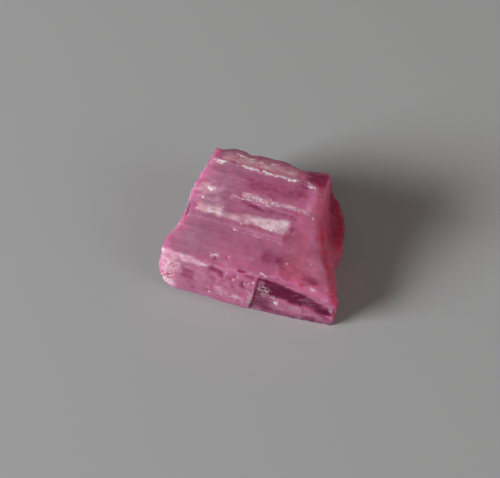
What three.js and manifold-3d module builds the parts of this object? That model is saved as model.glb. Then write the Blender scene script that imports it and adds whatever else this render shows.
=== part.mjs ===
// A rough piece of rubellite, broken out of a longer tourmaline prism. The prism's long axis runs along X,
// Z is up, and the piece lies on one flat prism face. Everything is in millimetres.
//
// The prism gives the long flat faces and their growth ledges, which all run along X. The two ends are
// breaks across the prism, the near right corner is scooped off, and chips and pits mark the near side.
import * as THREE from "three";
import { ConvexGeometry } from "three/addons/geometries/ConvexGeometry.js";
import { ImprovedNoise } from "three/addons/math/ImprovedNoise.js";
import { mergeVertices } from "three/addons/utils/BufferGeometryUtils.js";
import Module from "manifold-3d";

// ---- Driving dimensions ----

const STOCK_HALF_LENGTH = 12; // the prism before its ends are broken off
const BURIED = 0.35; // how deep a raised ledge is rooted in the body

// Cross-section of the prism as [y, z], in runs: up the near side, over the top and down the rear.
const NEAR_FACE = [[-4.7, 0], [-5.25, 0.45], [-5.02, 1.7], [-4.92, 1.78], [-4.62, 3.1], [-4.52, 3.16]];
const UPPER_FACE = [[-4.3, 4.2], [-2.2, 5.05], [0.6, 6.08], [2.6, 6.77], [4.2, 7.3]]; // ends at the ridge
const RIDGE = UPPER_FACE.at(-1);
const BACK_EDGE = [6.25, 6.82]; // far edge of the narrow strip behind the ridge
const REAR_FACE = [[6.62, 5.9], [6.86, 5.84], [7.3, 4.4], [7.5, 4.3], [7.72, 2.4], [7.3, 0.9]];
const BACK_FOOT = [6.6, 0]; // far edge of the face that the piece lies on
const SECTION = [...NEAR_FACE, ...UPPER_FACE, [5.1, 7.13], BACK_EDGE, ...REAR_FACE, BACK_FOOT];

// The broken ends. Each is a stack of rims at rising heights, and a rim is a run of [y, x] points.
const BREAK_CELLS = { across: 30, up: 25 }; // the small flats that a broken end is made of
const BREAK_LUMPS = { spacing: 1.7, height: 0.22 }; // broad lumps on a broken end
const BREAK_HACKLES = { spacing: 0.75, height: 0.13 }; // and the finer ones on top of them
// The right one slopes out and down from the upper face to a crease at its lower end, and bulges under it.
const RIGHT_BREAK = [
  { z: 0.0, rim: [[-5, 8.8], [-3, 8.45], [-0.5, 7.2], [2.5, 7.1], [5, 6.2], [7.5, 5.1]] },
  { z: 1.2, rim: [[-5, 8.8], [-3, 8.75], [-1.5, 8.1], [-0.2, 7.4], [1.8, 7.5], [4.6, 7.0], [7.6, 5.3]] },
  {
    z: 2.3,
    rim: [[-5, 8.6], [-3, 8.7], [-1.5, 8.1], [-0.2, 7.4], [2, 7.65], [4.6, 7.1], [6.4, 6.15], [7.7, 5.1]],
  },
  {
    z: 3.0,
    rim: [[-5, 8.3], [-3, 8.35], [-1.5, 7.85], [-0.2, 7.35], [2, 7.4], [4.6, 6.85], [6.5, 6], [7.2, 4.9]],
  },
  {
    z: 3.4,
    rim: [[-5, 8.1], [-3, 8.1], [-1.5, 7.75], [0, 7.25], [2.2, 6.4], [4.6, 5.65], [6, 5.2], [7, 4.85]],
  },
  { z: 4.4, rim: [[-4, 7.35], [-3, 7.05], [-1.2, 6.6], [0.3, 6.45], [2.6, 6.05], [4.6, 5.4], [7, 4.95]] },
  { z: 5.4, rim: [[-2.6, 6.2], [-1.2, 5.9], [0.4, 5.95], [2, 5.85], [4, 5.4], [7, 4.95]] },
  { z: 7.4, rim: [[-2.6, 5.6], [0.4, 5.4], [2, 5.45], [4.2, 5.2], [7, 4.95]] },
];
const LEFT_BREAK = [
  { z: 0.0, rim: [[-5, -5.7], [-3.6, -6.2], [0, -5.6], [3.5, -5.0], [7.5, -4.6]] },
  { z: 1.1, rim: [[-5.3, -6.6], [-3.8, -6.8], [-2, -6.3], [1, -5.7], [4, -5.3], [7.5, -5.0]] },
  { z: 3.0, rim: [[-4.9, -6.8], [-3.2, -6.8], [-2.0, -6.1], [1, -5.8], [3.6, -5.5], [7.5, -5.5]] },
  {
    z: 4.6,
    rim: [[-4.4, -6.75], [-3.1, -6.7], [-2.3, -6.3], [-1.8, -5.95], [1.4, -6.0], [4, -5.5], [7.2, -5.6]],
  },
  { z: 7.4, rim: [[-4.4, -6.6], [-2.2, -6.0], [1.4, -6.0], [3, -5.65], [4.2, -5.2], [6.2, -5.55]] },
];

// Growth ledges on the broad upper face. Each runs along X from x0 to x1, rises out of the face at its
// far side and ends in a low step, lift high, at its near side.
const LEDGES = [
  { x0: -5.6, x1: 3.15, near: -1.0, far: 0.55, lift: 0.17 },
  { x0: -2.4, x1: 4.6, near: 1.25, far: 2.15, lift: 0.13 },
  { x0: -6.4, x1: -0.9, near: 0.75, far: 1.3, lift: 0.08 },
  { x0: -6.4, x1: -3.9, near: 1.75, far: 2.75, lift: 0.12 },
  { x0: -4.6, x1: 2.2, near: 3.05, far: 3.6, lift: 0.07 },
  { x0: -6.6, x1: -1.6, near: -1.9, far: -1.3, lift: 0.06 },
  { x0: -4.0, x1: 1.4, near: -3.1, far: -2.5, lift: 0.07 },
];

// The same on the steep rear face, from a low side to a high side.
const REAR_LEDGES = [
  { x0: -6.8, x1: 1.9, low: 1.2, high: 1.9, lift: 0.12 },
  { x0: -2.2, x1: 7.0, low: 2.6, high: 3.3, lift: 0.14 },
  { x0: -6.8, x1: -1.0, low: 3.5, high: 3.9, lift: 0.1 },
  { x0: -3.4, x1: 4.2, low: 4.75, high: 5.3, lift: 0.1 },
];

// Splintered crest along the ridge: short slivers of uneven length and height, end to end.
const CREST = { x0: -5.9, pitch: 1.18, splinters: 9, near: 3.95, far: 4.5, lift: 0.15 };

// Shell-shaped scoop, part of a large ball, that takes the near right corner off the upper face.
const SCOOP = { radius: 22, segments: 72, x: 11.9, y: -8.7, z: 24.17 };

// Cuts, each the hull of its [x, y, z] corners.
const BLOCK_X = 1.78; // where the broken-out block begins, in a sharp wall
const CUTS = [
  // The block broken out of the near side: a shallow cut over its whole height...
  [
    [BLOCK_X + 0.2, -4.1, 4.9], [BLOCK_X - 0.05, -4.7, 2.2], [BLOCK_X - 0.3, -5.14, -0.4],
    [9.6, -4.1, 4.9], [9.6, -4.2, 2.2], [9.6, -4.22, -0.4],
    [BLOCK_X + 0.2, -6.5, 4.9], [BLOCK_X - 0.3, -6.5, -0.4], [9.6, -6.5, 4.9], [9.6, -6.5, -0.4],
  ],
  // ...and a deeper one above a narrow shelf.
  [
    [BLOCK_X + 0.25, -4.1, 4.9], [BLOCK_X, -4.52, 2.3], [BLOCK_X, -6.0, 1.8],
    [9.0, -3.8, 4.5], [9.0, -3.9, 0.85], [9.0, -6.0, 0.5],
    [BLOCK_X + 0.25, -6.0, 4.9], [9.0, -6.0, 4.5],
  ],
  // The bevel along the top of that block's wall.
  [
    [BLOCK_X, -4.2, 4.25], [BLOCK_X, -4.6, 4.1], [8.6, -3.5, 3.0], [8.6, -4.6, 2.3],
    [BLOCK_X, -6.0, 5.4], [8.6, -3.5, 5.4], [8.6, -6.0, 5.4],
  ],
  // The long chip that bevels the near edge at the left end and runs out to the right.
  [
    [-7.6, -3.95, 4.5], [-7.6, -4.95, 3.1], [-2.2, -4.38, 4.28], [-2.2, -4.5, 4.0],
    [-7.6, -6.0, 5.2], [-2.2, -6.0, 5.2],
  ],
  // The flat that squares off the near face below that chip.
  [
    [-5.6, -4.72, 3.2], [-5.4, -5.16, 1.0], [-2.4, -4.62, 3.6], [-2.3, -5.08, 1.0],
    [-5.6, -6.2, 3.2], [-5.4, -6.2, 1.0], [-2.4, -6.2, 3.6], [-2.3, -6.2, 1.0],
  ],
  // The chipped corner at the bottom left.
  [
    [-7.6, -3.6, -0.3], [-7.6, -5.0, 1.9], [-7.6, -6.4, 1.9], [-4.7, -5.3, -0.3],
    [-7.6, -6.4, -0.3], [-4.7, -6.4, -0.3],
  ],
];

// Flakes off the long far edges: where each is, and how deep it bites into the edge.
const FLAKES = [
  { edge: "top", x0: -6.4, x1: -3.3, bite: 0.65 },
  { edge: "top", x0: -3.1, x1: -1.1, bite: 0.42 },
  { edge: "top", x0: -1.2, x1: 1.2, bite: 0.2 },
  { edge: "top", x0: 0.4, x1: 4.9, bite: 0.62 },
  { edge: "top", x0: 4.4, x1: 6.2, bite: 0.4 },
  { edge: "foot", x0: -7.0, x1: -3.2, bite: 0.7 },
  { edge: "foot", x0: -0.6, x1: 1.1, bite: 0.35 },
  { edge: "foot", x0: 2.9, x1: 5.6, bite: 0.55 },
];

// Small sharp nicks in the upper face: where the middle is, how wide, and how far each is turned.
const UPPER_NICKS = [
  { x: 3.62, y: 0.05, width: 0.6, turn: 0.2 },
  { x: 4.1, y: -1.1, width: 0.4, turn: 2.6 },
  { x: 0.3, y: -2.15, width: 0.45, turn: 1.1 },
  { x: -2.1, y: -3.75, width: 0.7, turn: 0.5 },
  { x: -1.0, y: -3.5, width: 0.55, turn: 2.9 },
  { x: -4.6, y: -2.9, width: 0.4, turn: 0.1 },
];

// The same in the near side.
const NEAR_NICKS = [
  { x: -0.1, y: -4.47, z: 3.4, width: 0.6, turn: 0.3 },
  { x: -2.1, y: -5.12, z: 1.1, width: 0.6, turn: 2.7 },
  { x: 0.5, y: -5.12, z: 1.2, width: 0.7, turn: 0.4 },
  { x: -1.5, y: -4.71, z: 2.7, width: 0.55, turn: 2.4 },
  { x: -6.2, y: -5.0, z: 1.6, width: 0.8, turn: 0.9 },
  { x: 3.6, y: -4.6, z: 1.9, width: 0.5, turn: 0.1 },
];
// Corners of a nick 1 mm wide: its mouth stands proud of the face, and its floor is off the middle.
const NICK_CORNERS = [
  [-0.85, -0.1, 0.2], [0.1, -0.45, 0.2], [0.85, 0.1, 0.2], [-0.2, 0.42, 0.2], [0.35, -0.1, -0.42],
];

// Shallow shell-like chips, each part of a stretched ball: its middle and half its lengths.
const SHELLS = [
  { at: [-5.2, 1.85, 6.78], half: [1.5, 0.75, 0.32] },
  { at: [-1.5, -4.25, 4.4], half: [1.0, 0.35, 0.3] },
  { at: [0.75, -4.3, 4.33], half: [0.7, 0.3, 0.25] },
  { at: [-6.3, -5.3, 2.6], half: [0.9, 0.45, 0.7] },
  { at: [-4.2, -5.45, 0.1], half: [0.9, 0.35, 0.45] },
  { at: [6.3, -3.62, 3.72], half: [0.9, 0.35, 0.25] },
];

// ---- Solids ----

const wasm = await Module();
wasm.setup();
const noise = new ImprovedNoise();

// A closed three.js geometry as a solid.
function solidOf(geometry) {
  const bare = geometry.index ? geometry.toNonIndexed() : geometry.clone();
  bare.deleteAttribute("normal");
  bare.deleteAttribute("uv");
  const merged = mergeVertices(bare, 1e-5);
  const vertProperties = merged.attributes.position.array;
  const triVerts = new Uint32Array(merged.index.array);
  return new wasm.Manifold(new wasm.Mesh({ numProp: 3, vertProperties, triVerts }));
}

// A solid as a three.js geometry, its faces left flat.
function geometryOf(solid) {
  const mesh = solid.getMesh();
  const geometry = new THREE.BufferGeometry();
  geometry.setAttribute("position", new THREE.BufferAttribute(mesh.vertProperties, 3));
  geometry.setIndex(new THREE.BufferAttribute(mesh.triVerts, 1));
  const flat = geometry.toNonIndexed();
  flat.computeVertexNormals();
  return flat;
}

function hull(corners) {
  return solidOf(new ConvexGeometry(corners.map((c) => new THREE.Vector3(...c))));
}

// The value at t on a line through [t, value] points, level beyond both ends.
function along(points, t) {
  const next = points.findIndex((p) => p[0] > t);
  if (next === 0) return points[0][1];
  if (next < 0) return points.at(-1)[1];
  const [t0, v0] = points[next - 1];
  const [t1, v1] = points[next];
  return v0 + ((v1 - v0) * (t - t0)) / (t1 - t0);
}

// Where a broken end lies at (y, z): between its rims, with the break's own lumps.
function breakX(rims, y, z) {
  const base = along(rims.map((r) => [r.z, along(r.rim, y)]), z);
  const slice = base > 0 ? 3.7 : 8.3; // the two ends differ
  const relief = ({ spacing, height }) => height * noise.noise(y / spacing, z / spacing, slice);
  return base + relief(BREAK_LUMPS) + relief(BREAK_HACKLES);
}

// Height of the broad upper face at y, and how far back the rear face lies at z.
const upperZ = (y) => along(UPPER_FACE, y);
const REAR_BY_HEIGHT = REAR_FACE.map(([y, z]) => [z, y]).reverse();
const rearY = (z) => along(REAR_BY_HEIGHT, z);

// The prism, longer than the piece.
function prism() {
  const outline = new THREE.Shape(SECTION.map(([y, z]) => new THREE.Vector2(-y, z)));
  const bar = new THREE.ExtrudeGeometry(outline, { depth: 2 * STOCK_HALF_LENGTH, bevelEnabled: false });
  bar.translate(0, 0, -STOCK_HALF_LENGTH);
  // The outline's own x and y become -Y and Z, and its depth becomes X.
  bar.applyMatrix4(new THREE.Matrix4().set(0, 0, -1, 0, -1, 0, 0, 0, 0, 1, 0, 0, 0, 0, 0, 1));
  return solidOf(bar);
}

// What is left between the two broken ends: a block whose end faces follow the breaks.
function betweenBreaks() {
  const { across, up } = BREAK_CELLS;
  const block = new THREE.BoxGeometry(1, 15, 10, 1, across, up);
  block.translate(0, 1, 4);
  const p = block.attributes.position;
  for (let i = 0; i < p.count; i++) {
    const rims = p.getX(i) > 0 ? RIGHT_BREAK : LEFT_BREAK;
    p.setX(i, breakX(rims, p.getY(i), p.getZ(i)));
  }
  return solidOf(block);
}

function ledge({ x0, x1, near, far, lift }) {
  const corners = [];
  for (const x of [x0, x1]) {
    corners.push([x, far + 0.1, upperZ(far) - 0.02], [x, far, upperZ(far) - BURIED]);
    corners.push([x, near, upperZ(near) + lift], [x, near - 0.5 * lift, upperZ(near) - BURIED]);
  }
  return hull(corners);
}

function splinter(i) {
  const { x0, pitch, near, far, lift } = CREST;
  const start = x0 + i * pitch + 0.3 * Math.sin(2.4 * i);
  const end = start + pitch * (0.95 + 0.25 * Math.sin(5.1 * i + 1));
  const rise = lift * (0.7 + 0.5 * Math.sin(3.3 * i));
  const shift = 0.1 * Math.sin(1.7 * i);
  const corners = [];
  for (const x of [start, end]) {
    corners.push([x, near + shift, upperZ(near) - 0.05], [x, far + shift, RIDGE[1] - BURIED]);
    corners.push([x, near + shift + 0.1, upperZ(near) - BURIED]);
  }
  const [y, z] = RIDGE;
  corners.push([start + 0.15, y + shift, z + rise], [end - 0.2, y + shift, z + 0.8 * rise]);
  return hull(corners);
}

function rearLedge({ x0, x1, low, high, lift }) {
  const corners = [];
  for (const x of [x0, x1]) {
    corners.push([x, rearY(high) - 0.02, high + 0.1], [x, rearY(high) - BURIED, high]);
    corners.push([x, rearY(low) + lift, low], [x, rearY(low) - BURIED, low - 0.5 * lift]);
  }
  return hull(corners);
}

// A wedge that takes a flake off a long far edge, deepest at its middle.
function flake({ edge, x0, x1, bite }) {
  const [y, z] = edge === "top" ? BACK_EDGE : BACK_FOOT;
  const up = edge === "top" ? 1 : -1; // the edge faces up or down
  const middle = (x0 + x1) / 2;
  const corners = [
    [middle, y - bite, z + 0.3 * up], [middle, y + 0.75, z - 2 * up], [middle, y + 2, z + up],
  ];
  for (const x of [x0, x1]) {
    corners.push([x, y + 0.02, z + 0.3 * up], [x, y + 2, z - up], [x, y + 1.15, z - 2 * up]);
  }
  return hull(corners);
}

// A nick's corners, turned in its face: how far each is along X, across the face and out of it.
function nickCorners({ width, turn }) {
  const [c, s] = [width * Math.cos(turn), width * Math.sin(turn)];
  return NICK_CORNERS.map(([u, v, out]) => [u * c - v * s, u * s + v * c, width * out]);
}

function upperNick(nick) {
  const { x, y } = nick;
  return hull(nickCorners(nick).map(([u, v, out]) => [x + u, y + v, upperZ(y) + out]));
}

function nearNick(nick) {
  const { x, y, z } = nick;
  return hull(nickCorners(nick).map(([u, v, out]) => [x + u, y - out, z + v]));
}

function shell({ at, half }) {
  const ball = new THREE.IcosahedronGeometry(1, 3);
  ball.scale(...half);
  ball.translate(...at);
  return solidOf(ball);
}

function scoop() {
  const ball = new THREE.SphereGeometry(SCOOP.radius, SCOOP.segments, SCOOP.segments);
  ball.translate(SCOOP.x, SCOOP.y, SCOOP.z);
  return solidOf(ball);
}

function crystal() {
  let solid = prism();
  for (const each of LEDGES) solid = solid.add(ledge(each));
  for (const each of REAR_LEDGES) solid = solid.add(rearLedge(each));
  for (let i = 0; i < CREST.splinters; i++) solid = solid.add(splinter(i));
  solid = solid.intersect(betweenBreaks());
  solid = solid.subtract(scoop());
  for (const corners of CUTS) solid = solid.subtract(hull(corners));
  for (const each of FLAKES) solid = solid.subtract(flake(each));
  for (const each of SHELLS) solid = solid.subtract(shell(each));
  for (const each of UPPER_NICKS) solid = solid.subtract(upperNick(each));
  for (const each of NEAR_NICKS) solid = solid.subtract(nearNick(each));
  return geometryOf(solid);
}

// ---- The part ----

const part = new THREE.Group();
const rubellite = new THREE.MeshStandardMaterial({ color: "#b0607f", roughness: 0.3, metalness: 0 });
const mesh = new THREE.Mesh(crystal(), rubellite);
mesh.name = "rubellite_crystal";
// The part's origin is on the face that it lies on, under the middle of its length and depth.
mesh.geometry.computeBoundingBox();
const middle = mesh.geometry.boundingBox.getCenter(new THREE.Vector3());
mesh.position.set(-middle.x, -middle.y, 0);
part.add(mesh);

export default part;
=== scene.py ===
"""Looks of the raw rubellite crystal: a broken piece of pink tourmaline prism lying on a flat face.

The crystal is one closed mesh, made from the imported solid, with the growth lines, etched
patches, chips and ripples of the real stone cut into it. Lengths are in mm on the crystal's
own axes until the mesh is done: X runs along the prism, -Y is its near side, Z is up.
"""

import math

import bpy
import numpy as np
from mathutils import Matrix, Vector, noise


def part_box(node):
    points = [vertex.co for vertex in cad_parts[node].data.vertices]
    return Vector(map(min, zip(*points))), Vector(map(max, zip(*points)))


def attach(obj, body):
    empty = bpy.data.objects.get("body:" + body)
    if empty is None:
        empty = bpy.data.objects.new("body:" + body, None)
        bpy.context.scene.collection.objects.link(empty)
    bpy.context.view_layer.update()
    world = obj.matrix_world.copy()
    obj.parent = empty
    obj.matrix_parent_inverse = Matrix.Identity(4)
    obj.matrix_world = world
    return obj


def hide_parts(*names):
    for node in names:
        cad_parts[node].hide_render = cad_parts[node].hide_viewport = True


NODE = "rubellite_crystal"
MM = 0.001

# ---- Measures, in mm ----

CELL = 0.087  # between neighbouring points of the fine mesh
BASE_CALM = (0.03, 0.3)  # relief fades out between these heights, so the rest face stays flat

# Rounds of smoothing: a few show where edges are and round them a little, many melt them away.
FEW, MANY = 4, 120
WORN = (0.008, 0.04)  # an edge that a few rounds draw in by this is a little worn, and fully worn
# How far edges are rounded: least, most, and the run and width of the places that differ.
ROUNDED = (0.25, 0.8, 1.8, 0.9)

# Relief across the prism's grown faces: (run along X, pitch across, height).
GROWTH_SWELLS = (3.2, 1.1, 0.08)
GROWTH_LINES = (3.5, 0.4, 0.005)
# Relief on the broken ends: (size, height).
BREAK_LUMPS = (1.1, 0.08)
BREAK_GRAIN = (0.35, 0.02)
# Shell-like rings on the right break, which grow in between two places along X.
RIBS = dict(centre=(-2.0, 9.0, 4.5), pitch=0.5, height=0.012, between=(2.0, 4.0))
# Small tilted facets where the stone is etched or crumbled: (size, steepness).
ETCH = (0.3, 0.45)
CRUMBS = (0.6, 0.28)
TILTS_APART = 7.3  # takes neighbouring facets to unlike places in the noise that tilts them
CHIPS = (0.45, 0.2)  # nicks along worn edges: (size, bite)
# Where in the noise each of these starts, so that no two of them are alike.
STARTS = dict(stray=9.1, rounded=2.3, grown=3.7, broken=11.3, chips=7.7)

# ---- Sides of the crystal ----

# The two axes that places on each side are given by.
AXES = {
    "upper": [0, 1],  # all that looks up
    "rim": [0, 1],  # all but the foot
    "near": [0, 2],
    "back": [0, 2],
    "wall": [1, 2],  # the crack at the left of the broken-out block
    "right": [1, 2],  # the right break
}
# How much of a point's normal is along its side's axis where the side begins, and where it is full.
LOOKS = {
    "upper": (0.45, 0.7),
    "near": (0.45, 0.7),
    "back": (0.65, 0.9),
    "wall": (0.3, 0.6),
    "right": (0.15, 0.4),
    "left": (0.05, 0.35),
    "broken": (0.3, 0.6),  # the ends, which are broken and not grown
}
RIM_HEIGHTS = (1.2, 2.2)  # the same, but in mm above the foot
RIGHT_BREAK = (0.35, 4.0, 5.0)  # how it leans along Y, and where it starts along X
LEFT_BREAK = (5.6, 6.1)  # where it starts, the other way along X
THIN_FOOT = (0.2, 1.4)  # below these heights the stone is too thin to see into

# ---- Places on the crystal, in mm ----

# A strip runs from start to end on its side, with a half width at each. It is full inside and
# fades over its blur.
# Milky veils, with painted sheen on the long pale band and painted light on the slope behind the ridge.
MILK_AND_PAINTED_LIGHT = [
    # The long pale band down the middle of the upper face, partly milk and partly painted sheen: a paler
    # piece cut off square at its left end, a narrow run, and a wide block cut off square on the right.
    dict(side="upper", start=(-5.8, -1.35), end=(-3.7, -1.3), wide=(0.28, 0.28), blur=0.35, full=0.85),
    dict(side="upper", start=(-3.9, -1.55), end=(-1.3, -1.4), wide=(0.2, 0.3), blur=0.35, full=0.75),
    dict(side="upper", start=(-1.4, -1.25), end=(2.15, -1.2), wide=(0.3, 0.55), blur=0.25, full=0.85),
    dict(side="upper", start=(-5.3, -1.42), end=(-4.0, -1.42), wide=(0.1, 0.1), blur=0.15, full=0.6),
    dict(side="upper", start=(-0.6, -1.5), end=(1.9, -1.55), wide=(0.12, 0.25), blur=0.25, full=0.6),
    # Milk under the etched strip and at the far left corner.
    dict(side="upper", start=(-2.4, 0.42), end=(3.5, 0.52), wide=(0.36, 0.2), blur=0.35, full=0.52),
    dict(side="upper", start=(-6.2, 0.55), end=(-4.5, 0.35), wide=(0.4, 0.3), blur=0.5, full=0.7),
    dict(side="upper", start=(-6.3, -0.3), end=(-3.5, -0.5), wide=(0.5, 0.4), blur=0.4, full=0.3),
    # The slope behind the ridge, in painted light.
    dict(side="upper", start=(-5.2, 3.6), end=(1.4, 3.7), wide=(0.5, 0.5), blur=0.5, full=0.62),
    # Chipped top edge at the left of the near side, and the crumbled corner below it.
    dict(side="upper", start=(-7.8, -5.45), end=(-4.7, -5.5), wide=(0.14, 0.1), blur=0.12, full=0.5),
    dict(side="near", start=(-7.8, 3.7), end=(-5.9, 3.6), wide=(0.65, 0.5), blur=0.25, full=0.5),
    dict(side="near", start=(-5.9, 3.9), end=(-4.2, 3.95), wide=(0.36, 0.28), blur=0.2, full=0.55),
    dict(side="near", start=(-4.2, 3.95), end=(-3.4, 3.8), wide=(0.2, 0.14), blur=0.1, full=0.8),
    dict(side="near", start=(-7.7, 2.7), end=(-6.4, 2.3), wide=(0.6, 0.4), blur=0.3, full=0.45),
    dict(side="near", start=(-7.7, 1.2), end=(-6.1, 0.95), wide=(0.5, 0.3), blur=0.3, full=0.5),
    # Low on the near side, left of the broken-out block.
    dict(side="near", start=(-2.6, 1.5), end=(-1.1, 1.4), wide=(0.5, 0.45), blur=0.2, full=0.3),
    dict(side="near", start=(-1.0, 1.5), end=(-0.3, 1.3), wide=(0.25, 0.2), blur=0.25, full=0.45),
    dict(side="near", start=(0.5, 2.4), end=(0.6, 0.2), wide=(0.22, 0.25), blur=0.15, full=0.4),
    # The violet patch in the broken-out block.
    dict(side="near", start=(4.75, 2.5), end=(5.5, 2.1), wide=(0.32, 0.3), blur=0.15, full=0.2),
    # Pale bevels above the block, and the pale line that the upper face ends in.
    dict(side="upper", start=(4.8, -4.83), end=(5.8, -4.92), wide=(0.18, 0.14), blur=0.15, full=0.45),
    dict(side="upper", start=(5.2, -1.9), end=(6.8, -4.4), wide=(0.12, 0.15), blur=0.15, full=0.3),
]
# Deep places and painted shade: shade is painted on all that looks back, under the crease of the right break,
# in the crack's wall, and in streaks where one looks through clear stone into shadow.
DEEP_AND_SHADED = [
    # All that looks back, in painted shade.
    dict(side="back", start=(-9.0, 3.0), end=(9.0, 3.0), wide=(5.0, 5.0), blur=0.3, full=0.5),
    # Under the crease of the right break, in painted shade.
    dict(side="right", start=(1.0, 1.3), end=(6.6, 1.3), wide=(2.4, 2.4), blur=1.0, full=0.75),
    # Clear dark streaks in the upper face: deeper colour, with painted shade where one looks through them
    # into shadow.
    dict(side="upper", start=(-2.2, 1.6), end=(2.8, 1.75), wide=(0.25, 0.45), blur=0.7, full=0.7),
    dict(side="upper", start=(2.1, 2.6), end=(2.8, 2.5), wide=(0.12, 0.12), blur=0.1, full=0.7),
    dict(side="upper", start=(-2.3, -0.05), end=(-0.3, -0.25), wide=(0.15, 0.17), blur=0.15, full=0.9),
    dict(side="upper", start=(-0.2, -0.2), end=(2.6, -0.15), wide=(0.25, 0.2), blur=0.3, full=0.5),
    dict(side="upper", start=(0.8, -3.9), end=(2.7, -3.8), wide=(0.45, 0.4), blur=0.5, full=0.8),
    dict(side="upper", start=(4.6, -4.25), end=(5.8, -4.25), wide=(0.28, 0.22), blur=0.3, full=0.6),
    dict(side="upper", start=(2.4, -1.12), end=(2.85, -1.18), wide=(0.12, 0.12), blur=0.08, full=0.8),
    dict(side="upper", start=(2.3, 3.75), end=(4.3, 3.75), wide=(0.8, 0.9), blur=0.6, full=1.0),
    # Darker facets of the near side, and dark specks in its crumbled part.
    dict(side="near", start=(-5.75, 2.6), end=(-4.6, 2.45), wide=(0.6, 0.5), blur=0.15, full=0.7),
    dict(side="near", start=(-5.4, 1.7), end=(-4.7, 1.5), wide=(0.2, 0.25), blur=0.2, full=0.5),
    dict(side="near", start=(-3.3, 3.75), end=(-2.0, 3.35), wide=(0.3, 0.35), blur=0.25, full=0.95),
    dict(side="upper", start=(-0.8, -5.5), end=(-0.2, -5.42), wide=(0.12, 0.1), blur=0.06, full=1.0),
    dict(side="near", start=(-0.2, 3.95), end=(0.7, 4.05), wide=(0.2, 0.2), blur=0.18, full=0.85),
    dict(side="near", start=(-0.5, 2.95), end=(0.1, 2.75), wide=(0.28, 0.25), blur=0.2, full=0.85),
    dict(side="near", start=(-4.75, 1.1), end=(-4.5, 1.05), wide=(0.14, 0.12), blur=0.08, full=0.8),
    dict(side="near", start=(-3.5, 1.35), end=(-3.15, 1.2), wide=(0.2, 0.2), blur=0.08, full=0.9),
    # The streak under the top of the broken-out block, down to the sharp corner: painted shade seen through
    # the clear stone.
    dict(side="near", start=(1.6, 3.25), end=(5.0, 2.25), wide=(0.75, 0.65), blur=0.3, full=1.0),
    dict(side="near", start=(0.95, 4.0), end=(2.6, 3.6), wide=(0.16, 0.14), blur=0.08, full=1.0),
    dict(side="near", start=(4.9, 2.4), end=(7.5, 1.2), wide=(0.6, 0.5), blur=0.35, full=0.75),
    dict(side="near", start=(0.9, 1.5), end=(2.2, 1.1), wide=(0.7, 0.4), blur=0.35, full=0.5),
    dict(side="near", start=(0.9, 2.9), end=(2.0, 2.5), wide=(0.7, 0.5), blur=0.3, full=0.48),
    dict(side="near", start=(1.5, 0.4), end=(6.4, 0.3), wide=(0.45, 0.4), blur=0.3, full=0.55),
    dict(side="near", start=(-7.5, 0.3), end=(0.8, 0.3), wide=(0.4, 0.4), blur=0.3, full=0.4),
    dict(side="near", start=(5.6, 1.5), end=(7.0, 1.1), wide=(0.7, 0.4), blur=0.4, full=0.25),
    # The wall of the crack at the left of the block, in painted shade.
    dict(side="wall", start=(-6.6, 2.2), end=(-5.0, 2.2), wide=(2.2, 2.2), blur=0.2, full=1.0),
    dict(side="near", start=(6.9, 0.8), end=(7.8, 0.4), wide=(0.4, 0.4), blur=0.3, full=0.2),
]
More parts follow.
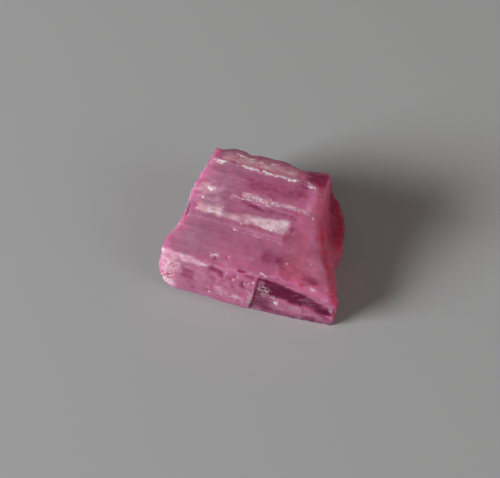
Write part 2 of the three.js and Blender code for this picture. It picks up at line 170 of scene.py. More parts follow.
# How thickly these places are covered with white flecks is their full share. The flecks are crushed and
# etched crystal, partly painted glints: along the crest, on the slope behind it and on small steps.
ETCHED_AND_GLINTS = [
    # The frosted strip, its flecks partly painted glints, with a fine line at its left and a tail at its
    # right.
    dict(side="upper", start=(-2.5, 0.5), end=(0.7, 0.42), wide=(0.22, 0.32), blur=0.28, full=0.38),
    dict(side="upper", start=(-3.3, 0.25), end=(-2.0, 0.08), wide=(0.04, 0.05), blur=0.06, full=0.6),
    dict(side="upper", start=(0.8, 0.5), end=(3.5, 0.5), wide=(0.2, 0.1), blur=0.15, full=0.25),
    # The far left corner.
    dict(side="upper", start=(-6.0, 0.6), end=(-5.6, 0.5), wide=(0.14, 0.1), blur=0.08, full=0.6),
    dict(side="upper", start=(-5.55, 0.42), end=(-4.9, 0.36), wide=(0.1, 0.08), blur=0.08, full=1.0),
    # Bright edges of the pale band's left piece, and fine lines beside the band: painted glints on small
    # steps.
    dict(side="upper", start=(-5.94, -1.1), end=(-5.76, -1.7), wide=(0.06, 0.06), blur=0.06, full=0.7),
    dict(side="upper", start=(-4.95, -1.52), end=(-3.7, -1.48), wide=(0.08, 0.06), blur=0.06, full=0.85),
    dict(side="upper", start=(-3.8, -1.0), end=(-3.66, -1.6), wide=(0.05, 0.05), blur=0.05, full=0.6),
    dict(side="upper", start=(-0.6, -1.6), end=(2.2, -1.75), wide=(0.12, 0.12), blur=0.12, full=0.3),
    dict(side="upper", start=(2.2, -0.6), end=(2.38, -1.8), wide=(0.04, 0.04), blur=0.05, full=0.4),
    dict(side="upper", start=(-2.3, -2.45), end=(2.1, -2.52), wide=(0.03, 0.03), blur=0.05, full=0.5),
    # The crumbled near side.
    dict(side="near", start=(-7.7, 3.4), end=(-5.9, 3.2), wide=(0.2, 0.12), blur=0.12, full=0.35),
    dict(side="near", start=(-7.7, 2.6), end=(-6.2, 2.2), wide=(0.9, 0.8), blur=0.4, full=0.28),
    dict(side="near", start=(-7.7, 1.3), end=(-6.5, 1.1), wide=(0.3, 0.2), blur=0.15, full=0.4),
    dict(side="upper", start=(-3.4, -4.9), end=(-2.7, -4.7), wide=(0.14, 0.12), blur=0.1, full=0.6),
    dict(side="near", start=(-1.1, 1.6), end=(-0.2, 1.25), wide=(0.25, 0.2), blur=0.2, full=0.4),
    dict(side="near", start=(0.1, 3.05), end=(0.75, 3.5), wide=(0.06, 0.06), blur=0.06, full=0.5),
    # The broken-out block.
    dict(side="upper", start=(1.0, -5.26), end=(1.7, -5.38), wide=(0.1, 0.08), blur=0.06, full=0.9),
    dict(side="near", start=(1.0, 3.0), end=(1.95, 2.45), wide=(0.5, 0.4), blur=0.3, full=0.45),
    dict(side="near", start=(2.35, 2.1), end=(2.85, 1.4), wide=(0.18, 0.15), blur=0.1, full=0.5),
    dict(side="upper", start=(2.4, -5.65), end=(2.9, -5.75), wide=(0.1, 0.1), blur=0.06, full=0.6),
    dict(side="near", start=(3.6, 1.5), end=(5.3, 1.0), wide=(0.25, 0.2), blur=0.15, full=0.25),
    dict(side="near", start=(7.1, 2.0), end=(7.4, 1.4), wide=(0.08, 0.08), blur=0.06, full=0.6),
    dict(side="upper", start=(5.5, -4.9), end=(5.8, -4.93), wide=(0.1, 0.08), blur=0.06, full=0.4),
    # Crushed crest of the ridge, in dashes of flecks that are partly painted glints, and painted glints on
    # the slope behind it.
    dict(side="upper", start=(-5.9, 2.98), end=(-4.6, 2.9), wide=(0.07, 0.07), blur=0.06, full=1.0),
    dict(side="upper", start=(-5.85, 2.72), end=(-4.9, 2.75), wide=(0.05, 0.05), blur=0.06, full=0.9),
    dict(side="upper", start=(-4.5, 2.85), end=(-3.4, 2.9), wide=(0.04, 0.04), blur=0.05, full=0.6),
    dict(side="upper", start=(-3.3, 2.95), end=(-1.9, 2.88), wide=(0.16, 0.12), blur=0.08, full=0.85),
    dict(side="upper", start=(-3.1, 2.74), end=(-2.1, 2.7), wide=(0.06, 0.06), blur=0.06, full=0.7),
    dict(side="upper", start=(-1.65, 2.84), end=(0.7, 2.9), wide=(0.15, 0.14), blur=0.1, full=0.75),
    dict(side="upper", start=(0.8, 2.84), end=(1.8, 2.94), wide=(0.19, 0.14), blur=0.07, full=1.0),
    dict(side="upper", start=(2.2, 3.05), end=(2.6, 3.07), wide=(0.1, 0.1), blur=0.06, full=1.0),
    dict(side="upper", start=(2.65, 2.8), end=(3.4, 2.68), wide=(0.14, 0.12), blur=0.1, full=0.6),
    dict(side="upper", start=(-4.3, 4.25), end=(-3.2, 4.13), wide=(0.12, 0.1), blur=0.07, full=0.9),
    dict(side="upper", start=(-4.0, 3.25), end=(-3.72, 3.25), wide=(0.09, 0.09), blur=0.06, full=1.0),
    dict(side="upper", start=(-3.1, 4.0), end=(-2.3, 4.25), wide=(0.08, 0.08), blur=0.07, full=0.8),
    dict(side="upper", start=(-2.3, 3.3), end=(-1.0, 3.4), wide=(0.06, 0.06), blur=0.08, full=0.6),
    dict(side="upper", start=(-1.98, 3.88), end=(-1.5, 3.97), wide=(0.09, 0.08), blur=0.06, full=0.8),
    dict(side="upper", start=(-1.15, 4.1), end=(-0.5, 4.15), wide=(0.09, 0.08), blur=0.06, full=0.9),
]
# The part of the near side that is crumbled into small facets.
CRUMBLED = [
    dict(side="near", start=(-7.7, 2.4), end=(-6.1, 2.2), wide=(1.6, 1.4), blur=0.4, full=0.45),
    dict(side="near", start=(-3.5, 3.2), end=(0.7, 2.9), wide=(0.9, 0.8), blur=0.4, full=0.8),
    dict(side="near", start=(-3.5, 1.4), end=(0.7, 1.1), wide=(0.5, 0.6), blur=0.3, full=0.5),
]
# Single small bright specks, white crystal and painted glints: side, where it is, and how far it reaches.
# They have sharp edges.
SPECK_AND_GLINT_BLUR = 0.04
SPECKS_AND_GLINTS = [
    ("upper", 2.96, -3.81, 0.07), ("upper", 4.86, -3.0, 0.06), ("upper", 2.74, -1.34, 0.07),
    ("upper", 0.86, -1.73, 0.08), ("upper", -2.19, -2.44, 0.06), ("upper", -1.76, -1.87, 0.05),
    ("upper", 3.9, 0.35, 0.06), ("upper", 2.9, 0.62, 0.05), ("upper", -1.9, 0.75, 0.05),
    ("upper", -5.64, -0.55, 0.08), ("upper", -2.85, 4.01, 0.1), ("upper", -2.44, 4.3, 0.07),
    ("near", 2.7, 1.51, 0.15), ("near", -3.12, 1.12, 0.06), ("near", 0.26, 1.29, 0.05),
    ("near", 4.86, 0.4, 0.05), ("near", -1.13, 3.16, 0.06), ("near", -7.5, 1.4, 0.08),
]
# The clear block at the right of the near side: past its crack, down to the sharp corner.
CLEAR = [
    dict(side="near", start=(0.9, 2.6), end=(8.3, 1.8), wide=(2.0, 2.0), blur=0.05, full=1.0),
]
# Where the stone is redder: most on the right break, and a little over its back and along its foot.
# The right break lies in shade, and its red is partly painted glow standing in for light through the stone.
REDDER_AND_GLOWING = [
    dict(side="right", start=(0.8, 0.8), end=(6.6, 0.8), wide=(2.4, 2.4), blur=1.2, full=1.0),
    dict(side="back", start=(-9.0, 3.0), end=(9.0, 3.0), wide=(5.0, 5.0), blur=0.3, full=0.35),
    dict(side="right", start=(-0.6, 2.6), end=(6.6, 3.6), wide=(3.0, 3.0), blur=1.4, full=0.75),
    dict(side="right", start=(-6.6, 1.6), end=(-0.2, 2.6), wide=(2.4, 3.0), blur=1.4, full=0.5),
    dict(side="upper", start=(4.6, 3.4), end=(5.3, -1.5), wide=(0.4, 0.4), blur=0.6, full=0.2),
    dict(side="upper", start=(-2.2, 1.6), end=(2.8, 1.75), wide=(0.4, 0.6), blur=0.8, full=0.15),
    dict(side="near", start=(-7.5, 1.0), end=(0.6, 1.0), wide=(0.9, 0.9), blur=0.5, full=0.12),
    dict(side="near", start=(-7.8, 0.1), end=(7.8, 0.1), wide=(0.3, 0.3), blur=0.35, full=0.5),
    dict(side="near", start=(6.9, 0.7), end=(7.8, 0.3), wide=(0.5, 0.5), blur=0.4, full=0.4),
    dict(side="upper", start=(3.0, 3.8), end=(4.4, 3.7), wide=(0.7, 0.7), blur=0.5, full=0.5),
]
# Painted light: where the body is a brighter pink besides its right end.
PAINTED_LIGHT_PLACES = [
    # The slope behind the ridge.
    dict(side="upper", start=(-4.6, 3.9), end=(2.2, 3.9), wide=(0.8, 0.8), blur=0.6, full=1.0),
]
# Edges that are melted to soft shoulders: the rim between the upper face and the right break.
MELTED = [
    dict(side="rim", start=(4.35, 3.2), end=(4.6, 0.9), wide=(0.7, 0.8), blur=0.4, full=1.0),
    dict(side="rim", start=(4.6, 0.9), end=(5.3, -1.0), wide=(0.8, 0.9), blur=0.4, full=1.0),
    dict(side="rim", start=(5.3, -1.0), end=(7.7, -4.4), wide=(0.9, 0.5), blur=0.4, full=0.9),
    # The line where the scoop leaves the flat upper face.
    dict(side="upper", start=(2.85, 2.4), end=(2.7, -4.3), wide=(0.35, 0.5), blur=0.3, full=1.0),
]
# How strips stray from their line, which they do more along the prism than across it.
WANDER = ((0.9, 0.3, 0.12), (0.35, 0.18, 0.07))  # (size along X, size across, reach)
MORE_ALONG = (1.5, 1, 1)
MAUVE_TO_ROSE = (-6.5, -1.5)  # the body turns from mauve to rose between these places along X
ROSE_TO_PAINTED_LIGHT = (1.5, 4.2)  # and here to a brighter pink, painted light on the right end
NEAR_ROSIER = 0.4  # how much of the mauve the near side goes without

# Patterns in the crystal: (size along the prism, size across it, detail).
PATTERNS = {
    "clouds": (2.6, 1.5, 3.0),  # where it is a little clearer or milkier
    "hues": (4.1, 2.3, 1.0),  # zones of colour
    "curds": (0.8, 0.4, 3.0),  # clots of milk, and the borders of deep and shaded places
    "blots": (0.7, 0.5, 4.0),  # small stains
    "cracks": (0.5, 2.6, 2.0),  # healed cracks across the prism
    "grain": (0.2, 0.13, 1.0),  # grit of crushed crystal, drawn some four times too coarse so that it shows
    "threads": (2.4, 0.14, 2.0),  # fine tubes and growth lines along the prism
}
# The shares that the mesh carries, by which the material finds its places.
SHARES = "milky deep etched crumbled clear ember worn mauve blush left thick".split()

# ---- Colours, sRGB ----

ROSE = "#c97c9b"  # the body of the stone
VIOLET = "#c0729b"  # and where it leans to violet
MAUVE = "#b987a6"  # its left end
LIT_PINK = "#ea8ab0"  # its right end, brighter as painted light
DUSK = "#7c4460"  # its left break and the rim round it, darker as painted shade
WINE = "#a23c6c"  # deep places in the body, and painted shade in it
PORT = "#7c0046"  # and in the clear block, where it is painted shade seen through the clear stone
MILK = "#f0d5df"  # milky veils, and painted sheen and light
BRUISE_AND_GLINT = "#fff0f4"  # crushed and etched crystal, and painted glints
EMBER_GLOW = "#dc2e60"  # the right break, where one looks along the prism and the stone is reddest, with painted glow as it lies in shade
SHADED_GARNET = "#9e2e54"  # and its deep places, painted shade under the crease of the right break
FLOOR_GREY = "#b6b8ba"
WARM_WHITE = "#ffe8d4"  # the light of the room
DEPTH_TINT = "#d03a78"  # what a long path inside lets through

# ---- Light in and on the stone ----

IOR = 1.64  # tourmaline's own
GLEAM = 0.18  # it mirrors little, as fine lines and etching dull its faces
POLISH = (0.24, 0.34)  # least and most roughness of grown faces
BREAK_ROUGHNESS = 0.3  # and how much more broken and crushed places have
GRAIN_BUMP = (0.05, 0.02 * MM)  # strength, and height in metres
STRAIGHT_THROUGH = (0.1, 0.2)  # share of the light that isn't scattered, in the body and in deep and shaded places
CLEAREST = 0.25  # and in the clear block
VEILED = 0.2  # what milk, crushed crystal and the red parts leave of it
DENSITY = 500.0  # how quickly light is coloured on its way through, per metre
SPREAD = (1.0, 0.25, 0.4)  # how far red, green and blue light spread under the surface,
SPREAD_DEPTH = 5.0 * MM  # as shares of this depth in metres
SPREAD_IN_FLECKS = 0.15  # how much light goes into white flecks, against 1 in the body
FLECKS_ON_EDGES = 0.12  # how thickly worn edges are covered with white flecks


def linear(code):
    """The linear colour, with alpha, of an sRGB hex code."""
    parts = [int(code[i : i + 2], 16) / 255 for i in (1, 3, 5)]
    return [p / 12.92 if p <= 0.04045 else ((p + 0.055) / 1.055) ** 2.4 for p in parts] + [1.0]


# ---- Fine mesh ----


def ease(values, low, high):
    """0 below low, 1 above high, and a smooth rise between."""
    share = np.clip((values - low) / (high - low), 0, 1)
    return share * share * (3 - 2 * share)


def wave(points, lengths, start):
    """Smooth noise between about -1 and 1 that changes over these lengths in mm."""
    return np.array([noise.noise(p) for p in (points / lengths + start).tolist()])


def facets(points, size):
    """Flat facets of about this size, each tilted its own way: how high each point lies on its own."""
    heights = []
    for point in (points / size).tolist():
        middle = noise.voronoi(point)[1][0]
        tilt = noise.cell_vector(middle * TILTS_APART) * 2 - Vector((1, 1, 1))
        heights.append((Vector(point) - middle).dot(tilt))
    return size * np.array(heights)


def column(attributes, name, length):
    """One vector for each point, as rows of an array."""
    values = np.empty(length * 3)
    attributes.foreach_get(name, values)
    return values.reshape(-1, 3)


def fine_copy(node):
    """A closed mesh of even small cells over the solid, in mm."""
    mesh = node.data.copy()
    mesh.transform(Matrix.Scale(1 / MM, 4))
    rough = bpy.data.objects.new("rough", mesh)
    bpy.context.scene.collection.objects.link(rough)
    cells = rough.modifiers.new("cells", "REMESH")
    cells.mode = "VOXEL"
    cells.voxel_size = CELL
    shown = rough.evaluated_get(bpy.context.evaluated_depsgraph_get())
    fine = bpy.data.meshes.new_from_object(shown)
    bpy.data.objects.remove(rough)
    return fine


def softened(mesh, points, rounds):
    """The points drawn towards the middle of their neighbours, round after round."""
    pairs = np.empty(len(mesh.edges) * 2, int)
    mesh.edges.foreach_get("vertices", pairs)
    pairs = pairs.reshape(-1, 2)
    near, far = np.concatenate([pairs, pairs[:, ::-1]]).T
    count = np.bincount(near, minlength=len(points))
    for _ in range(rounds):
        points = np.stack([np.bincount(near, axis[far], len(count)) / count for axis in points.T], 1)
    return points


def strip(points, facing, side, start, end, wide, blur, full):
    """How far each point lies in a strip: full inside it, none outside."""
    flat = points[:, AXES[side]]
    start, end = np.array(start), np.array(end)
    run = np.linalg.norm(end - start)
    ahead = (end - start) / run
    along = (flat - start) @ ahead
    across = np.abs((flat - start) @ np.array([-ahead[1], ahead[0]]))
    half = wide[0] + (wide[1] - wide[0]) * np.clip(along / run, 0, 1)
    outside = np.maximum(np.maximum(-along, along - run), across - half)
    return full * facing[side] * (1 - ease(outside, -blur, blur))


def strips(points, facing, places):
    """All strips of one kind together, as a share from 0 to 1."""
    left = np.ones(len(points))
    for place in places:
        left *= 1 - strip(points, facing, **place)
    return 1 - left


def either(one, other):
    """The share that one or the other covers."""
    return 1 - (1 - one) * (1 - other)


def sides(points, normals):
    """How far each point is on each side, from 0 to 1."""
    lean, start, end = RIGHT_BREAK
    beyond = ease(points[:, 0] + lean * points[:, 1], start, end)
    return {
        "upper": ease(normals[:, 2], *LOOKS["upper"]),
        "rim": ease(points[:, 2], *RIM_HEIGHTS),
        "near": ease(-normals[:, 1], *LOOKS["near"]),
        "back": ease(normals[:, 1], *LOOKS["back"]),
        "wall": ease(normals[:, 0], *LOOKS["wall"]) * (1 - beyond),
        "right": ease(normals[:, 0], *LOOKS["right"]) * beyond,
        "left": ease(-normals[:, 0], *LOOKS["left"]) * ease(-points[:, 0], *LEFT_BREAK),
        "broken": ease(np.abs(normals[:, 0]), *LOOKS["broken"]),
    }


def surface_shares(points, facing, worn):
    """How much of each kind of place there is at each point, from 0 to 1."""
    placed = points.copy()
    for run, across, reach in WANDER:
        size = (run, across, across)
        stray = np.stack([wave(points, size, k * STARTS["stray"]) for k in range(3)], 1)
        placed += reach * stray * MORE_ALONG
    specks_and_glints = [
        dict(side=side, start=(a - size, b), end=(a + size, b), wide=(size, size), blur=SPECK_AND_GLINT_BLUR, full=1.0)
        for side, a, b, size in SPECKS_AND_GLINTS
    ]
    mauve = 1 - ease(points[:, 0], *MAUVE_TO_ROSE)
    return {
        "milky": strips(placed, facing, MILK_AND_PAINTED_LIGHT),
        "deep": strips(placed, facing, DEEP_AND_SHADED),
        # The etched share also carries painted glints.
        "etched": either(strips(placed, facing, ETCHED_AND_GLINTS), strips(points, facing, specks_and_glints)),
        "crumbled": strips(placed, facing, CRUMBLED),
        "clear": strips(points, facing, CLEAR),
        "ember": strips(placed, facing, REDDER_AND_GLOWING),
        "worn": worn,
        "mauve": mauve * (1 - NEAR_ROSIER * facing["near"]),
        "blush": either(ease(points[:, 0], *ROSE_TO_PAINTED_LIGHT), strips(placed, facing, PAINTED_LIGHT_PLACES)),
        "left": facing["left"],
        "thick": ease(points[:, 2], *THIN_FOOT),
    }


def relief(points, facing, shares):
    """How high the surface stands at each point."""
    height = np.zeros(len(points))
    broken = facing["broken"]
    for run, pitch, tall in (GROWTH_SWELLS, GROWTH_LINES):
        height += (1 - broken) * tall * wave(points, (run, pitch, pitch), STARTS["grown"])
    for size, tall in (BREAK_LUMPS, BREAK_GRAIN):
        height += broken * tall * wave(points, (size, size, size), STARTS["broken"])
    rings = np.linalg.norm(points - np.array(RIBS["centre"]), axis=1) / RIBS["pitch"]
    right = ease(points[:, 0], *RIBS["between"])
    height += broken * right * RIBS["height"] * np.sin(2 * math.pi * rings)
    for name, (size, steep) in (("etched", ETCH), ("crumbled", CRUMBS)):
        there = shares[name] > 0
        height[there] += steep * shares[name][there] * facets(points[there], size)
    size, bite = CHIPS
    nicks = ease(wave(points, (2 * size, size, size), STARTS["chips"]), 0.0, 0.5)
    height -= shares["worn"] * bite * nicks
    return height


def crystal_mesh(node):
    """The solid as a fine closed mesh with the real stone's relief, which keeps the solid's box."""
    mesh = fine_copy(node)
    count = len(mesh.vertices)
    points = column(mesh.vertices, "co", count)
    normals = column(mesh.vertex_normals, "vector", count)
    facing = sides(points, normals)
    melted = strips(points, facing, MELTED)
    rounded = softened(mesh, points, FEW)
    soft = softened(mesh, rounded, MANY)
    worn = ease(np.sum((points - rounded) * normals, axis=1), *WORN) * (1 - melted)
    shares = surface_shares(points, facing, worn)

    least, most, run, across = ROUNDED
    rounding = ease(wave(points, (run, across, across), STARTS["rounded"]), -0.3, 0.3)
    rounding = least + (most - least) * rounding
    calm = ease(points[:, 2], *BASE_CALM)
    points = points + (rounding * calm)[:, None] * (rounded - points)
    points = points + (melted * calm)[:, None] * (soft - points)
    points = points + (relief(points, facing, shares) * calm)[:, None] * normals

    # Drawn out to the solid's own box.
    low, high = (np.array(corner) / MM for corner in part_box(NODE))
    lowest, highest = points.min(axis=0), points.max(axis=0)
    points = low + (points - lowest) * (high - low) / (highest - lowest)

    mesh.vertices.foreach_set("co", points.ravel())
    for name, values in shares.items():
        mesh.attributes.new(name, "FLOAT", "POINT").data.foreach_set("value", values)
    mesh.transform(Matrix.Scale(MM, 4))
    mesh.shade_smooth()
    mesh.update()
    return mesh


# ---- Materials ----


def add(tree, kind, inputs=(), give=0, **settings):
    """Adds one node with its settings and inputs, and gives back one of its outputs.

    Inputs are values, or the outputs that feed them, in the node's own order or by name.
    """
    made = tree.nodes.new(kind)
    for name, value in settings.items():
        setattr(made, name, value)
    for key, value in inputs.items() if isinstance(inputs, dict) else enumerate(inputs):
        if isinstance(value, bpy.types.NodeSocket):
            tree.links.new(value, made.inputs[key])
        else:
            made.inputs[key].default_value = value
    return made.outputs[give] if made.outputs else None


def empty_material(name):
    material = bpy.data.materials.new(name)
    material.use_nodes = True
    material.node_tree.nodes.clear()
    return material, material.node_tree


# Inputs and outputs of a mix by their number, as some have the same name.
SHARE, BELOW, ABOVE, MIXED = 0, 6, 7, 2
# Nearly all of a noise lies between these values.
BULK = (0.35, 0.65)

# In what follows a map range takes its value, low, high, least and most, and a multiply-add takes
# two factors and what is added.


def deep_and_shaded_places(tree, share, seen, clearest):
    """How dark the stone is from depth and from painted shade, with cloudy borders, and mottled where it is
    crumbled.
    """
    mottled = add(tree, "ShaderNodeMapRange", [seen["curds"], 0.45, 0.65, 0.0, 0.5])
    spotted = add(tree, "ShaderNodeMath", [share["crumbled"], mottled], operation="MULTIPLY")
    dark = [share["deep"], clearest, share["deep"]]
    dark = add(tree, "ShaderNodeMath", dark, operation="MULTIPLY_ADD")
    dark = add(tree, "ShaderNodeMath", [dark, clearest], operation="MAXIMUM")
    dark = add(tree, "ShaderNodeMath", [dark, spotted], operation="MAXIMUM")
    dark = add(tree, "ShaderNodeMath", [seen["curds"], 1.4, dark], operation="MULTIPLY_ADD")
    dark = add(tree, "ShaderNodeMapRange", [dark, 0.8, 1.7])
    cloudy = add(tree, "ShaderNodeMapRange", [seen["clouds"], 0.45, 0.75, 0.0, 0.25])
    return add(tree, "ShaderNodeMath", [dark, cloudy], operation="ADD", use_clamp=True)


def body_colour(tree, share, seen, deep):
    """Rose that leans to violet in places, to mauve at its left end and to a brighter pink of painted light
    at its right one.
    """
    slow = add(tree, "ShaderNodeMapRange", [seen["hues"], *BULK, 0.0, 0.5])
    quick = add(tree, "ShaderNodeMapRange", [seen["blots"], *BULK, 0.0, 0.5])
    leaning = add(tree, "ShaderNodeMath", [slow, quick], operation="ADD")
    rose = linear(ROSE)
    # The left break turns to painted shade.
    layers = [(leaning, VIOLET), (share["mauve"], MAUVE), (share["blush"], LIT_PINK), (share["left"], DUSK)]
    for amount, colour in layers:
        layer = {SHARE: amount, BELOW: rose, ABOVE: linear(colour)}
        rose = add(tree, "ShaderNodeMix", layer, MIXED, data_type="RGBA")

    # Deep places and painted shade are wine red, in the clear block near purple, and garnet in the red parts.
    layer = {SHARE: share["clear"], BELOW: linear(WINE), ABOVE: linear(PORT)}
    wine = add(tree, "ShaderNodeMix", layer, MIXED, data_type="RGBA")
    layer = {SHARE: deep, BELOW: rose, ABOVE: wine}
    body = add(tree, "ShaderNodeMix", layer, MIXED, data_type="RGBA")
    # The red parts: painted glow on the shaded right break, garnet where shade is painted under its crease.
    layer = {SHARE: deep, BELOW: linear(EMBER_GLOW), ABOVE: linear(SHADED_GARNET)}
    red = add(tree, "ShaderNodeMix", layer, MIXED, data_type="RGBA")
    layer = {SHARE: share["ember"], BELOW: body, ABOVE: red}
    return add(tree, "ShaderNodeMix", layer, MIXED, data_type="RGBA")


def milk_and_painted_light_places(tree, share, seen, deep):
    """Milk and painted light in soft curds, milk in threads along the prism, and thin healed cracks across
    it.
    """
    curdled = [seen["curds"], 1.2, share["milky"]]
    curdled = add(tree, "ShaderNodeMath", curdled, operation="MULTIPLY_ADD")
    curdled = add(tree, "ShaderNodeMapRange", [curdled, 0.7, 1.5])
    thinned = add(tree, "ShaderNodeMapRange", [seen["blots"], 0.35, 0.6, 0.65, 1.0])
    curdled = add(tree, "ShaderNodeMath", [curdled, thinned], operation="MULTIPLY")
    drawn = add(tree, "ShaderNodeMapRange", [seen["threads"], 0.56, 0.66])
    faint = add(tree, "ShaderNodeMapRange", [seen["clouds"], 0.48, 0.62, 0.0, 0.12])
    drawn = add(tree, "ShaderNodeMath", [drawn, faint], operation="MULTIPLY")
    # A crack runs where its noise passes one level, and is as wide as it takes to leave it.
    beside = add(tree, "ShaderNodeMath", [seen["cracks"], 0.53], operation="SUBTRACT")
    beside = add(tree, "ShaderNodeMath", [beside], operation="ABSOLUTE")
    healed = add(tree, "ShaderNodeMapRange", [beside, 0.0, 0.012, 0.14, 0.0])
    lines = add(tree, "ShaderNodeMath", [drawn, healed], operation="MAXIMUM")
    # Threads and cracks hardly show where the stone is deep and where shade is painted, and on the left
    # break.
    unlit = add(tree, "ShaderNodeMath", [deep, share["left"]], operation="MAXIMUM")
    shallow = add(tree, "ShaderNodeMapRange", [unlit, 0.2, 0.8, 1.0, 0.2])
    lines = add(tree, "ShaderNodeMath", [lines, shallow], operation="MULTIPLY")
    return add(tree, "ShaderNodeMath", [curdled, lines], operation="MAXIMUM")


def white_flecks(tree, bruised, seen):
    """Crushed crystal and painted glints, in flecks that cover as much of a place as it is bruised."""
    raised = add(tree, "ShaderNodeMath", [bruised, 0.3, seen["grain"]], operation="MULTIPLY_ADD")
    fleck = add(tree, "ShaderNodeMapRange", [raised, 0.6, 0.7])
    there = add(tree, "ShaderNodeMapRange", [bruised, 0.02, 0.15])
    thick = add(tree, "ShaderNodeMapRange", [bruised, 0.2, 1.0, 0.5, 0.95])
    fleck = add(tree, "ShaderNodeMath", [fleck, there], operation="MULTIPLY")
    return add(tree, "ShaderNodeMath", [fleck, thick], operation="MULTIPLY")


def rubellite():
    """Raw tourmaline: glassy grown faces with fine lines, milk and cracks inside, crushed white spots and
    painted glints.

    Part of the light goes in and comes back dark red, and the milk near the surface gives the pink.
    """
    material, tree = empty_material("rubellite raw crystal")
    place = add(tree, "ShaderNodeTexCoord", give="Object")
    share = {name: add(tree, "ShaderNodeAttribute", give="Fac", attribute_name=name) for name in SHARES}
    seen = {}
    for name, (run, across, detail) in PATTERNS.items():
        scale = (1 / (run * MM), 1 / (across * MM), 1 / (across * MM))
        placed = add(tree, "ShaderNodeMapping", {"Vector": place, "Scale": scale})
        seen[name] = add(tree, "ShaderNodeTexNoise", {"Vector": placed, "Scale": 1.0, "Detail": detail})

    clearest = add(tree, "ShaderNodeMath", [share["clear"], CLEAREST], operation="MULTIPLY")
    deep = deep_and_shaded_places(tree, share, seen, clearest)
    body = body_colour(tree, share, seen, deep)
    milk = milk_and_painted_light_places(tree, share, seen, deep)
    layer = {SHARE: milk, BELOW: body, ABOVE: linear(MILK)}
    milky = add(tree, "ShaderNodeMix", layer, MIXED, data_type="RGBA")
    bruised = [share["worn"], FLECKS_ON_EDGES, share["etched"]]
    bruised = add(tree, "ShaderNodeMath", bruised, operation="MULTIPLY_ADD", use_clamp=True)
    fleck = white_flecks(tree, bruised, seen)
    layer = {SHARE: fleck, BELOW: milky, ABOVE: linear(BRUISE_AND_GLINT)}
    colour = add(tree, "ShaderNodeMix", layer, MIXED, data_type="RGBA")
    blotched = add(tree, "ShaderNodeMapRange", [seen["blots"], *BULK, 0.88, 1.08])
    lined = add(tree, "ShaderNodeMapRange", [seen["threads"], *BULK, -0.02, 0.02])
    shade = add(tree, "ShaderNodeMath", [blotched, lined], operation="ADD")
    colour = add(tree, "ShaderNodeHueSaturation", {"Value": shade, "Color": colour})

    # See-through where nothing clouds it: most in the clear block, more in deep and shaded places than in the
    # body.
    opened = add(tree, "ShaderNodeMapRange", [deep, 0.0, 1.0, *STRAIGHT_THROUGH])
    opened = add(tree, "ShaderNodeMath", [opened, clearest], operation="MAXIMUM")
    opened = add(tree, "ShaderNodeMath", [opened, share["thick"]], operation="MULTIPLY")
    veiled = add(tree, "ShaderNodeMath", [bruised, share["ember"]], operation="MAXIMUM")
    veiled = add(tree, "ShaderNodeMath", [milk, veiled], operation="MAXIMUM")
    veiled = add(tree, "ShaderNodeMapRange", [veiled, 0.0, 1.0, 1.0, VEILED])
    see = add(tree, "ShaderNodeMath", [opened, veiled], operation="MULTIPLY")

    # Broken and crushed surfaces scatter light; grown ones are glossy.
    broken = add(tree, "ShaderNodeMath", [share["left"], share["worn"]], operation="MAXIMUM")
    broken = add(tree, "ShaderNodeMath", [broken, bruised], operation="MAXIMUM")
    glossy = add(tree, "ShaderNodeMapRange", [seen["clouds"], *BULK, *POLISH])
    rough = [broken, BREAK_ROUGHNESS, glossy]
    rough = add(tree, "ShaderNodeMath", rough, operation="MULTIPLY_ADD")
    strength, height = GRAIN_BUMP
    bump = {"Height": seen["grain"], "Strength": strength, "Distance": height}
    bump = add(tree, "ShaderNodeBump", bump)
    # Light goes less deep into crushed crystal.
    scattered = add(tree, "ShaderNodeMapRange", [fleck, 0.0, 1.0, 1.0, SPREAD_IN_FLECKS])
    shader = {
        "Base Color": colour,
        "Roughness": rough,
        "IOR": IOR,
        "Specular IOR Level": GLEAM,
        "Transmission Weight": see,
        "Normal": bump,
        "Subsurface Weight": scattered,
        "Subsurface Radius": SPREAD,
        "Subsurface Scale": SPREAD_DEPTH,
    }
    shader = add(tree, "ShaderNodeBsdfPrincipled", shader)
    depth = add(tree, "ShaderNodeVolumeAbsorption", {"Color": linear(DEPTH_TINT), "Density": DENSITY})
    add(tree, "ShaderNodeOutputMaterial", {"Surface": shader, "Volume": depth})
    return material


def matte_board():
    """Smooth matt board, pale grey, which keeps the crystal's own colours plain."""
    material, tree = empty_material("matt board")
    shader = add(tree, "ShaderNodeBsdfPrincipled", {"Base Color": linear(FLOOR_GREY), "Roughness": 0.8})
    add(tree, "ShaderNodeOutputMaterial", {"Surface": shader})
    return material


# ---- Scene ----


def shown(name, mesh, material):
    """Puts a mesh in the scene, of one material."""
    mesh.materials.clear()
    mesh.materials.append(material)
    made = bpy.data.objects.new(name, mesh)
    bpy.context.scene.collection.objects.link(made)
    return made


def floor(reach, drop):
    """A flat board just under the crystal, which reaches this far each way."""
    mesh = bpy.data.meshes.new("floor")
    corners = [(-reach, -reach, -drop), (reach, -reach, -drop), (reach, reach, -drop), (-reach, reach, -drop)]
    mesh.from_pydata(corners, [], [(0, 1, 2, 3)])
    return shown("floor", mesh, matte_board())


def from_angle(azimuth, elevation, distance):
    """A place at this angle round the crystal: azimuth 0 is its near side, 90 its right end."""
    a, e = math.radians(azimuth), math.radians(elevation)
    return distance * Vector((math.sin(a) * math.cos(e), -math.cos(a) * math.cos(e), math.sin(e)))


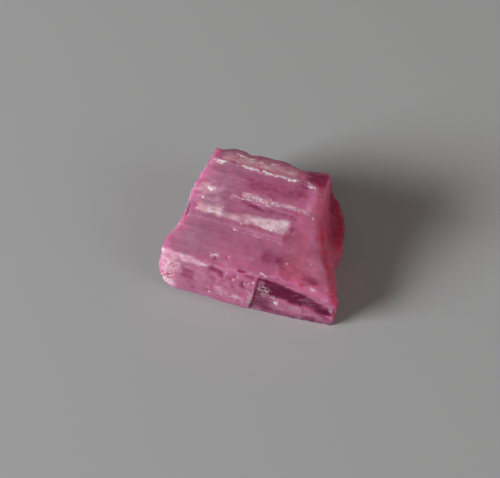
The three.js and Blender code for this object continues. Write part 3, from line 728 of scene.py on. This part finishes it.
def aim(thing, place, target):
    """Puts a lamp or camera in the scene, turned to its target."""
    thing.location = place
    thing.rotation_euler = (target - place).to_track_quat("-Z", "Y").to_euler()
    bpy.context.scene.collection.objects.link(thing)


def soft_box(name, target, azimuth, elevation, distance, size, power, glossy=True):
    """A soft lamp at this angle round the crystal. One that isn't glossy leaves no highlight."""
    light = bpy.data.lights.new(name, "AREA")
    light.shape = "RECTANGLE"
    light.size, light.size_y = size
    light.energy = power
    lamp = bpy.data.objects.new(name, light)
    lamp.visible_glossy = glossy
    aim(lamp, target + from_angle(azimuth, elevation, distance), target)


def room(brightness):
    """Even warm light from all round."""
    world = bpy.data.worlds.new("room")
    world.use_nodes = True
    world.node_tree.nodes.clear()
    glow = add(world.node_tree, "ShaderNodeBackground", {"Color": linear(WARM_WHITE), "Strength": brightness})
    add(world.node_tree, "ShaderNodeOutputWorld", {"Surface": glow})
    bpy.context.scene.world = world


def camera(target):
    """Looks down at the crystal from its near side, a little to the right."""
    lens = bpy.data.cameras.new("camera")
    lens.lens = 80
    lens.clip_start = 0.005
    eye = bpy.data.objects.new("camera", lens)
    aim(eye, target + from_angle(azimuth=19, elevation=54, distance=96 * MM), target)
    bpy.context.scene.camera = eye


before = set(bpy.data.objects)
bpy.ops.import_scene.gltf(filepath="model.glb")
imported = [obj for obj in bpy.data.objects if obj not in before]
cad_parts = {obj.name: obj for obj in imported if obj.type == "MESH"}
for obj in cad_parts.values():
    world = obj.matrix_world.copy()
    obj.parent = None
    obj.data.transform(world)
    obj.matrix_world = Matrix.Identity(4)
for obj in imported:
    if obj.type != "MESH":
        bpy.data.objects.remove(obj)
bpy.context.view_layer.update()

crystal = shown("raw_rubellite", crystal_mesh(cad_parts[NODE]), rubellite())
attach(crystal, "root")
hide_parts(NODE)
floor(reach=1.5, drop=0.02 * MM)

middle = Vector((-1.11, -1.35, 3.2)) * MM
camera(middle)
soft_box("window", middle, azimuth=-55, elevation=22, distance=0.6, size=(0.3, 0.2), power=4.5)
soft_box("fill", middle, azimuth=80, elevation=32, distance=0.6, size=(0.4, 0.3), power=0.6, glossy=False)
room(brightness=0.1)
bpy.context.scene.view_settings.view_transform = "Standard"
